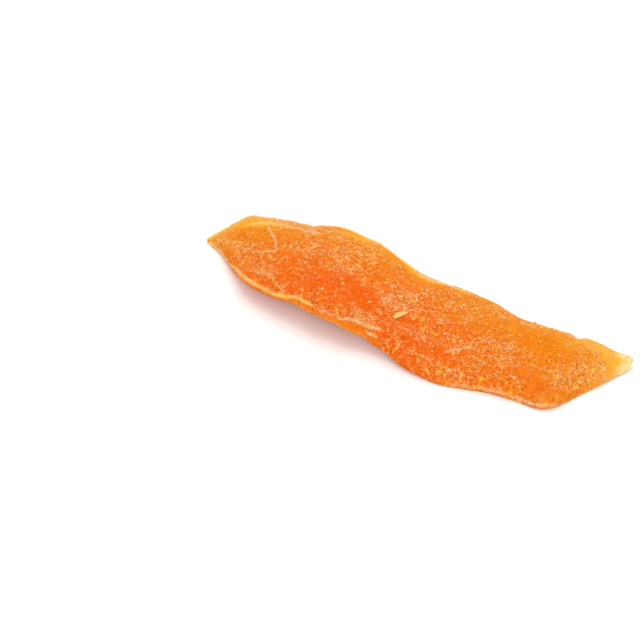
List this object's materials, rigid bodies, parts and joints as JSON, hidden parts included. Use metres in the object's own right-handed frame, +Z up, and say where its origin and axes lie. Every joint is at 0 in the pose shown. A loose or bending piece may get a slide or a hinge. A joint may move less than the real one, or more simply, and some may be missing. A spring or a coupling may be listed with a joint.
{
  "type": "dried mango slice",
  "caption": "Sugared dried mango slice: one long leathery leaf of fruit flesh, thick in the middle and thin at its tips, lying arched on a table.",
  "frame": {"origin": "middle of the slice's footprint, on the surface it lies on", "axes": "+X along the slice's length towards its broad end, +Y towards its thin edge, +Z up through its thickness"},
  "size_m": [0.1262, 0.0378, 0.0106],
  "materials": {
    "mango_flesh": "leathery orange fruit flesh, slightly translucent and amber at its thin edges, frosted with fine sugar crystals"
  },
  "bodies": {
    "root": {"mango_slice": "mango_flesh"}
  },
  "joints": []
}
